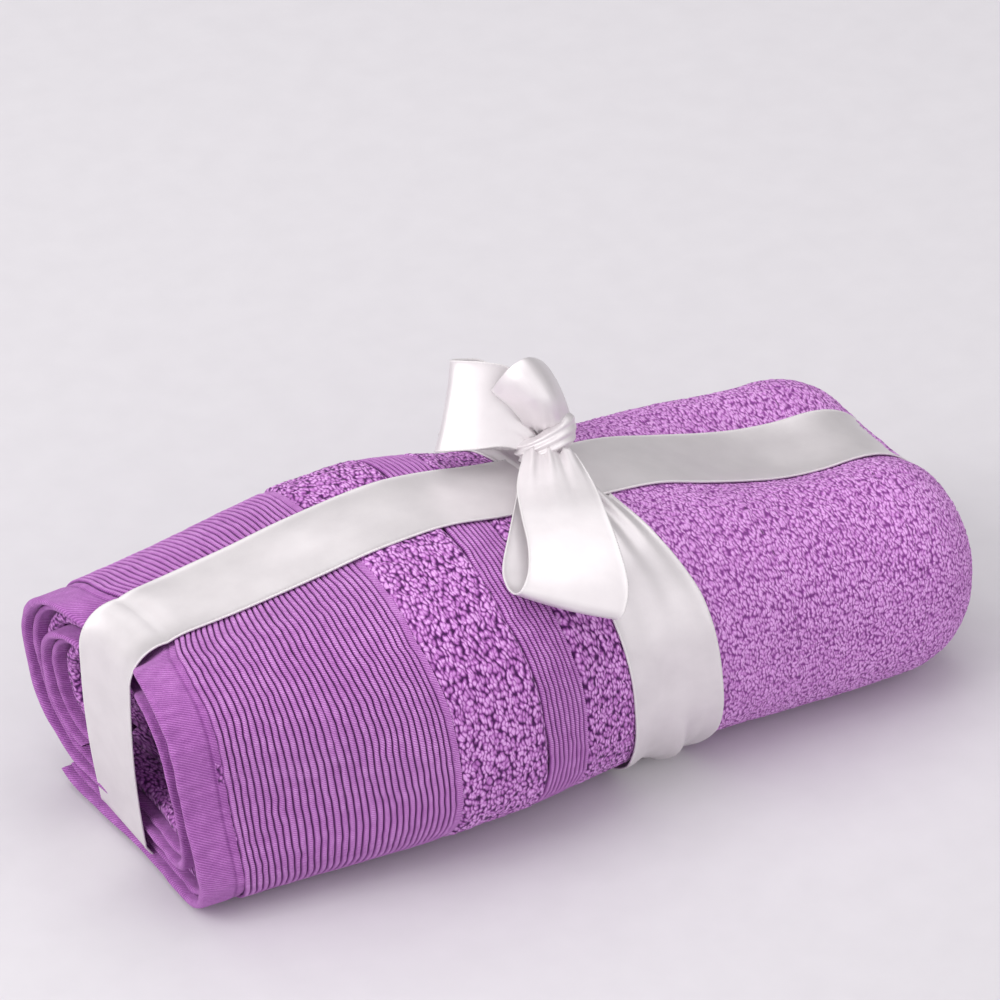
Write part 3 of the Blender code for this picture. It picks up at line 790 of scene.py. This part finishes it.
def add_hand_towel():
    """The hand towel, folded in three and rolled up inside the bath towel."""
    step = 3 * HAND_LAYER + 0.0002
    start_depth = WINDING_PITCH * BATH_TURNS
    count = 46
    runs = np.linspace(HAND_START_X - 0.012, FOLD_START_X - 0.002, count)
    profile_x = np.concatenate([runs, [runs[-1] + 0.0012], runs[::-1], [runs[0] - 0.0012], runs])
    outer, middle, inner = (HAND_LAYER * (k + 0.5) for k in range(3))
    profile_d = np.concatenate([
        np.full(count, outer),
        [(outer + middle) / 2],
        np.full(count, middle),
        [(middle + inner) / 2],
        np.full(count, inner),
    ])
    turns = np.linspace(0, HAND_TURNS, 200)
    angle = (FREE_EDGE_ANGLE - 0.15 - 2 * math.pi * turns)[:, None]
    depth = start_depth + 0.001 + step * turns[:, None] + profile_d[None, :]
    grid = roll_surface(np.broadcast_to(profile_x[None, :], depth.shape), angle, depth)
    u, v = cloth_place(turns * 0.2, np.arange(len(profile_x)) * 0.006)
    layers = {"tone_and_painted_shade": 0.68 + 0.25 * drift(u, v, 4, 0.0035, 51), "cloth_across": u, "cloth_along": v}
    sheet = add_cloth("hand_towel_cloth", grid, 0.0, TERRY, layers)
    thicken(sheet)
    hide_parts("hand_towel_roll", "hand_towel_hem")


# The ribbon.

RIBBON_THICKNESS = 0.0005
RIBBON_LIFT = 0.0027
END_REACH = 0.0405
FOOT_HEIGHT = 0.0085


def smooth_path(controls, count):
    """A smooth curve through rows of controls, sampled evenly by the length of its first three values."""
    controls = np.array(controls, float)
    padded = np.vstack([2 * controls[0] - controls[1], controls, 2 * controls[-1] - controls[-2]])
    fine = []
    for k in range(len(controls) - 1):
        a, b, c, d = padded[k : k + 4]
        t = np.linspace(0, 1, 24, endpoint=k == len(controls) - 2)[:, None]
        bend, twist = 2 * a - 5 * b + 4 * c - d, 3 * b - a - 3 * c + d
        fine.append(0.5 * (2 * b + (c - a) * t + bend * t**2 + twist * t**3))
    fine = np.vstack(fine)
    length = np.concatenate([[0], np.cumsum(np.linalg.norm(np.diff(fine[:, :3], axis=0), axis=1))])
    wanted = np.linspace(0, length[-1], count)
    return np.stack([np.interp(wanted, length, column) for column in fine.T], axis=-1), wanted


ACROSS = np.concatenate([[-1, -0.975, -0.95], np.linspace(-0.92, 0.92, 25), [0.95, 0.975, 1]])
MIDDLE = len(ACROSS) // 2


def add_ribbon(name, grid, along, replaced, body):
    """A stretch of ribbon with corded selvedges, as a thin closed shell, from a grid of its outer face."""
    normal = normals_of(grid)
    cord = np.interp(np.abs(ACROSS), [0, 0.93, 0.975, 1], [0, 0, 1, 0.4])
    outer = grid + normal * (0.00022 * cord)[None, :, None]
    inner = grid - normal * (RIBBON_THICKNESS + 0.00012 * cord)[None, :, None]
    layers = {"across": ACROSS[None, :], "along": along[:, None]}
    piece = grid_object(name, outer, SATIN, layers, rim=inner)
    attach(piece, body)
    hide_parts(*replaced)
    return piece


def row_length(points):
    return np.concatenate([[0], np.cumsum(np.linalg.norm(np.diff(points, axis=0), axis=1))])


def add_long_ribbon():
    """The ribbon round the length of the roll: over the top, down both ends and along the underside."""
    y = RIBBON_Y + ACROSS * RIBBON_WIDTH / 2
    bend = 0.0160
    top_x = np.linspace(KNOT_X - 0.004, HEM_END_X + 0.0145, 90)
    top = surface_top(top_x[:, None], y[None, :], RIBBON_LIFT)
    last = top[-1]
    rows = [top]
    swing = np.linspace(0, math.pi / 2, 14)[1:]
    for a in swing:
        row = last.copy()
        row[:, 0] = last[:, 0] - (bend + 0.001) * math.sin(a)
        row[:, 2] = last[:, 2] - bend * (1 - math.cos(a)) + 0.0008 * math.sin(2 * a)
        rows.append(row[None])
    drop_from = rows[-1][0]
    foot_x = HEM_END_X + 0.0005
    for t in np.linspace(0, 1, 30)[1:]:
        row = drop_from.copy()
        row[:, 2] = drop_from[:, 2] * (1 - t) + FOOT_HEIGHT * t
        row[:, 0] = drop_from[:, 0] * (1 - t) + foot_x * t - 0.0016 * math.sin(math.pi * t)
        row[:, 1] = drop_from[:, 1] + 0.0015 * t
        rows.append(row[None])
    foot = rows[-1][0]
    for a in np.linspace(0, math.pi / 2, 7)[1:]:
        row = foot.copy()
        row[:, 0] = foot[:, 0] + 0.006 * math.sin(a)
        row[:, 2] = 0.0006 + (FOOT_HEIGHT - 0.0006) * (1 - math.sin(a)) ** 1.2
        rows.append(row[None])
    grid = np.concatenate(rows)
    grid = grid[:, ::-1]
    along = row_length(grid[:, MIDDLE])
    add_ribbon(
        "long_ribbon_left", grid, along, ["long_ribbon_top_left", "long_ribbon_hem_end"],
        "towel_roll",
    )
    under_x = np.linspace(foot[:, 0].mean() + 0.006, FOLD_START_X, 60)
    hump = 0.0009 * ramp(np.abs(under_x - KNOT_X), RIBBON_WIDTH / 2 + 0.008, RIBBON_WIDTH / 2 + 0.001)
    under_y = y[None, :] + 0.0015
    under = np.stack(np.broadcast_arrays(under_x[:, None], under_y, hump[:, None]), axis=-1)
    along = row_length(under[:, MIDDLE])
    add_ribbon(
        "long_ribbon_under", under[:, ::-1], along, ["long_ribbon_underside"],
        "towel_roll",
    )
    top_x = np.linspace(KNOT_X + 0.004, FOLD_START_X, 70)
    rows = [surface_top(top_x[:, None], y[None, :], RIBBON_LIFT)]
    edge = rows[0][-1]
    for t in np.linspace(0, 1, 40)[1:]:
        a = math.pi * t
        row = edge.copy()
        middle_z = edge[:, 2] / 2
        reach = END_REACH * math.sin(a) ** 0.8 if 0 < t < 1 else 0.0
        upward = math.copysign(abs(math.cos(a)) ** 0.85, math.cos(a))
        row[:, 0] = edge[:, 0] + reach
        row[:, 2] = middle_z + (edge[:, 2] / 2) * upward + 0.0004 * t
        rows.append(row[None])
    grid = np.concatenate(rows)
    along = row_length(grid[:, MIDDLE])
    add_ribbon(
        "long_ribbon_right", grid, along, ["long_ribbon_top_right", "long_ribbon_fold_end"],
        "towel_roll",
    )


def add_girth_ribbon():
    """The ribbon round the girth, gathered at the knot and pulled askew at the foot of the front."""
    def side(name, start, end, replaced, front):
        rows = 110
        turns = np.linspace(start, end, rows)
        t = np.linspace(0, 1, rows)
        opened = ramp(t, 0.0, 0.42)
        half = 0.012 * (1 - opened) + RIBBON_WIDTH / 2 * opened
        middle = KNOT_X + (0.0045 + 0.0015 * ramp(t, 0.25, 1.0) if front else np.full(rows, 0.002))
        if front:
            half = half - 0.0040 * ramp(t, 0.78, 1.0)
        x = middle[:, None] + half[:, None] * ACROSS[None, :]
        angle = turns[:, None] + 0 * x
        grid = roll_surface(x, angle, -RIBBON_LIFT)
        pleats = 0.0014 * np.exp(-t / 0.16)[:, None] * np.cos(3.3 * np.pi * ACROSS)[None, :]
        if front:
            low = ramp(t, 0.62, 0.86)[:, None]
            crease = np.exp(-(((ACROSS[None, :] - 0.15 - 0.5 * (t[:, None] - 0.8)) / 0.13) ** 2))
            second = np.exp(-(((ACROSS[None, :] - 0.55 + 0.9 * (t[:, None] - 0.8)) / 0.10) ** 2))
            puckers = 0.0030 * crease + 0.0010 * second + 0.0008 * np.cos(2.2 * np.pi * ACROSS)[None, :]
            pleats = pleats + low * puckers
        grid = grid + normals_of(grid) * pleats[..., None] * (1 if front else -1)
        if not front:
            grid = grid[:, ::-1]
        along = row_length(grid[:, MIDDLE])
        add_ribbon(name, grid, along, replaced, "towel_roll")

    side("girth_ribbon_fore", math.radians(93), math.radians(236), ["girth_ribbon_front"], True)
    side("girth_ribbon_rear", math.radians(87), math.radians(-56), ["girth_ribbon_back"], False)
    angles = np.radians(np.linspace(236, 304, 50))
    x = KNOT_X + 0.002 + ACROSS * RIBBON_WIDTH / 2
    grid = roll_surface(np.broadcast_to(x[None, :], (50, len(x))), angles[:, None], -0.0004)
    grid[..., 2] = np.maximum(grid[..., 2] - 0.0011, 0.0)
    along = row_length(grid[:, MIDDLE])
    add_ribbon(
        "girth_ribbon_under", grid, along, ["girth_ribbon_underside"],
        "towel_roll",
    )


# The bow faces the front left and a little up: its own across, up and out directions.
BOW_ACROSS = np.array([0.862, -0.506, 0.0])
BOW_UP = np.array([0.285, 0.486, 0.826])
BOW_OUT = np.array([-0.418, -0.712, 0.564])
KNOT_CENTRE = np.array([KNOT_X + 0.001, 0.009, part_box("bow_knot")[0][2] + 0.0150])


def bow_point(across, up, out):
    """A point given in millimetres from the knot's centre, along the bow's own directions."""
    return KNOT_CENTRE + (across * BOW_ACROSS + up * BOW_UP + out * BOW_OUT) / 1000


def bow_direction(across, up, out):
    v = across * BOW_ACROSS + up * BOW_UP + out * BOW_OUT
    return v / np.linalg.norm(v)


def gathers(at_root, reach, at_end=0.0, end_reach=1.0):
    """How gathered a strip is along its length, from 0 at its root to 1 at its end."""
    return lambda t: at_root * np.exp(-t / reach) + at_end * np.exp(-(1 - t) / end_reach)


def add_bow_strip(name, stations, rows, gathered, curl):
    """A stretch of the bow. A station is across, up, out and width, then the width's own direction."""
    controls = []
    for across, up, out, width, *direction in stations:
        controls.append([*bow_point(across, up, out), width / 1000, *bow_direction(*direction)])
    path, along = smooth_path(controls, rows)
    centre, width, side = path[:, :3], path[:, 3], path[:, 4:7]
    tangent = np.gradient(centre, axis=0)
    tangent /= np.linalg.norm(tangent, axis=1, keepdims=True)
    side /= np.linalg.norm(side, axis=1, keepdims=True)
    normal = np.cross(tangent, side)
    normal /= np.linalg.norm(normal, axis=1, keepdims=True)
    t = along / along[-1]
    gather = gathered(t)[:, None]
    bulge = 0.0022 * gather * np.cos(3.0 * np.pi * ACROSS)[None, :]
    bulge = bulge + 0.0009 * gather * np.cos(7 * np.pi * ACROSS + 1)[None, :]
    bulge = bulge + curl * (0.3 + 0.7 * ramp(t, 0, 0.6))[:, None] * (1 - ACROSS**2)[None, :]
    reach = (width[:, None] / 2 * ACROSS[None, :])[..., None]
    grid = centre[:, None] + side[:, None] * reach + normal[:, None] * bulge[..., None]
    add_ribbon(f"{name}_ribbon", grid, along, [f"bow_{name}"], name)


def add_bow():
    """The knot, the loop that hangs in front, the loop behind and the two loose ends."""
    front = [
        (1.2, -4, 8, 20, 1, 0, 0),
        (3.2, -17, 25, 29.5, 1, 0.05, 0),
        (6.2, -28, 40, 32.5, 1, 0.04, 0),
        (10, -41, 53, 35, 1, -0.03, 0),
        (11.7, -53, 61, 38.5, 1, -0.13, 0),
        (9.8, -61.5, 64, 40, 1, -0.22, 0),
        (6.8, -64, 61.5, 40, 1, -0.25, 0),
        (3.8, -61, 57, 40, 1, -0.24, 0),
        (1.5, -53, 51, 38, 1, -0.2, 0),
        (0.4, -37, 38, 30, 1, -0.1, 0),
        (-1, -23.5, 24, 22, 1, 0, 0),
        (-1, -7, 3, 16, 1, 0, 0),
    ]
    add_bow_strip("front_loop", front, 150, gathers(0.55, 0.06, 0.8, 0.07), 0.0012)
    rear = [
        (-3, 2, 1, 13, 0.1, 1, 0.1),
        (-9, 8, 3, 24, 0.12, 1, 0.1),
        (-16, 12.5, 4, 31, 0.12, 1, 0.0),
        (-26, 13, 4, 34.5, 0.14, 1, 0.0),
        (-36.5, 13, 1.5, 36, 0.17, 1, 0.0),
        (-40, 13, -2.5, 36.5, 0.17, 1, 0.0),
        (-36.5, 13.5, -7, 37, 0.17, 1, 0.0),
        (-26, 13.5, -10.5, 35, 0.12, 1, 0.0),
        (-13, 9, -9, 26, 0.06, 1, 0.1),
        (-4, 2, -5, 13, 0.05, 1, 0.15),
    ]
    add_bow_strip("rear_loop", rear, 120, gathers(0.6, 0.06, 0.9, 0.08), 0.001)
    short = [
        (1, 4, -2, 19, 0.95, -0.15, -0.25),
        (-1, 10, 3, 20, 0.92, 0.10, -0.3),
        (-5, 17, 5, 22, 0.88, 0.30, -0.3),
        (-9, 22, 5, 23.5, 0.84, 0.45, -0.3),
        (-11.5, 24.5, 4, 23.5, 0.84, 0.47, -0.3),
    ]
    add_bow_strip("short_tail", short, 50, gathers(0.45, 0.2), -0.0120)
    tail = [
        (-2, 2, -7, 13, 1, 0.3, 0),
        (-6, 6, -18, 22, 1, 0.3, 0),
        (-13, 11, -34, 34, 1, 0.25, 0),
        (-20, 11, -50, 38, 1, 0.2, 0),
        (-24, 6, -60, 38, 1, 0.2, 0),
    ]
    add_bow_strip("rear_tail", tail, 60, gathers(1.0, 0.3), 0.002)
    add_knot()


def add_knot():
    """The wrap of ribbon round the neck of the bow, with folds that run round it."""
    rows, columns = 120, 61
    around = np.linspace(0, 2 * math.pi, rows, endpoint=False)[:, None]
    lengthwise = np.linspace(-1, 1, columns)[None, :]
    girth = np.sqrt(np.clip(1 - 0.70 * np.abs(lengthwise) ** 3.0, 0, 1))
    hidden = 0.5 + 0.5 * np.sin(around + 3.9)
    wave = np.cos(3.7 * np.pi * lengthwise + 1.3 * np.sin(around + 0.6))
    folds = 1 + 0.05 * (0.25 + hidden) * wave * (1 - 0.7 * lengthwise**4)
    folds = folds + 0.035 * np.sin(2 * around + 2.5 * lengthwise)
    axis = bow_direction(-0.22, 0.93, 0.1)
    wide = bow_direction(0.96, 0.25, 0.05)
    deep = np.cross(axis, wide)
    radius = girth * folds
    slant = 0.0082 * lengthwise * (1 - 0.35 * hidden) + 0.0028 * np.cos(around - 0.5)
    points = (
        KNOT_CENTRE
        + wide * (0.0125 * radius * np.cos(around))[..., None]
        + deep * (0.0100 * radius * np.sin(around))[..., None]
        + axis * slant[..., None]
    )
    layers = {"across": 0.9 * lengthwise, "along": around * 0.012 * 0.9}
    knot = grid_object("bow_knot_wrap", points, SATIN, layers, close_rows=True)
    thick = knot.modifiers.new("ribbon thickness", "SOLIDIFY")
    thick.thickness = 0.0006
    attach(knot, "towel_roll")
    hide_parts("bow_knot")


# The studio.

BRIGHT_SIDE = (-0.50, -0.80, 0.33)

def add_studio():
    floor_mesh = bpy.data.meshes.new("studio_floor")
    size = 4.0
    corners = [(-size, -size, 0), (size, -size, 0), (size, size, 0), (-size, size, 0)]
    floor_mesh.from_pydata(corners, [], [(0, 1, 2, 3)])
    floor = bpy.data.objects.new("studio_floor", floor_mesh)
    floor.location.z = -0.0004
    bpy.context.scene.collection.objects.link(floor)
    material, tree, shader = new_material("studio_floor_paper")
    place = node(tree, "ShaderNodeTexCoord").outputs["Object"]
    paper = node(tree, "ShaderNodeTexNoise", Vector=place, Scale=60.0, Detail=3.0)
    tints = ramp_node(tree, paper.outputs["Fac"], PAPER_STOPS)
    tree.links.new(tints, shader.inputs["Base Color"])
    shader.inputs["Roughness"].default_value = 0.9
    floor_mesh.materials.append(material)

    world = bpy.data.worlds.new("studio")
    world.use_nodes = True
    sky = world.node_tree
    way = node(sky, "ShaderNodeTexCoord").outputs["Generated"]
    dot = node(sky, "ShaderNodeVectorMath", {"operation": "DOT_PRODUCT"}, _0=way, _1=BRIGHT_SIDE)
    smooth = {"interpolation_type": "SMOOTHSTEP"}
    facing = dot.outputs["Value"]
    strength = node(sky, "ShaderNodeMapRange", smooth, _0=facing, _1=-0.9, _2=0.8, _3=0.20, _4=0.95)
    background = sky.nodes["Background"]
    background.inputs["Color"].default_value = (1.0, 0.985, 1.0, 1)
    sky.links.new(strength.outputs[0], background.inputs["Strength"])
    bpy.context.scene.world = world

    def lamp(name, place, aim, size, power, colour=(1, 1, 1)):
        light = bpy.data.lights.new(name, "AREA")
        light.size = size
        light.energy = power
        light.color = colour
        lamp_object = bpy.data.objects.new(name, light)
        lamp_object.location = place
        lamp_object.rotation_euler = (Vector(aim) - Vector(place)).to_track_quat("-Z", "Y").to_euler()
        bpy.context.scene.collection.objects.link(lamp_object)

    lamp("key", (-1.35, 0.05, 1.15), (0, 0, 0.05), 1.0, 12.5, (1.0, 0.99, 0.98))
    lamp("top", (0.1, 0.45, 1.5), (0, 0, 0.05), 1.4, 8)
    lamp("fill", (0.3, -1.7, 0.75), (0, 0, 0.05), 1.8, 4.2, (0.99, 0.98, 1.0))


def add_camera():
    azimuth, elevation, distance = math.radians(-30.41), math.radians(34.30), 2.467
    target = Vector((0.0304, 0.0673, 0.055))
    level = math.cos(elevation)
    back = Vector((math.sin(azimuth) * level, -math.cos(azimuth) * level, math.sin(elevation)))
    lens = bpy.data.cameras.new("camera")
    lens.sensor_width = 36
    lens.lens = 220.6
    lens.clip_end = 50
    camera = bpy.data.objects.new("camera", lens)
    camera.location = target + back * distance
    camera.rotation_euler = back.to_track_quat("Z", "Y").to_euler()
    bpy.context.scene.collection.objects.link(camera)
    bpy.context.scene.camera = camera


bpy.context.scene.view_settings.view_transform = "Standard"
add_camera()
add_studio()
add_bath_towel()
add_hand_towel()
add_long_ribbon()
add_girth_ribbon()
add_bow()
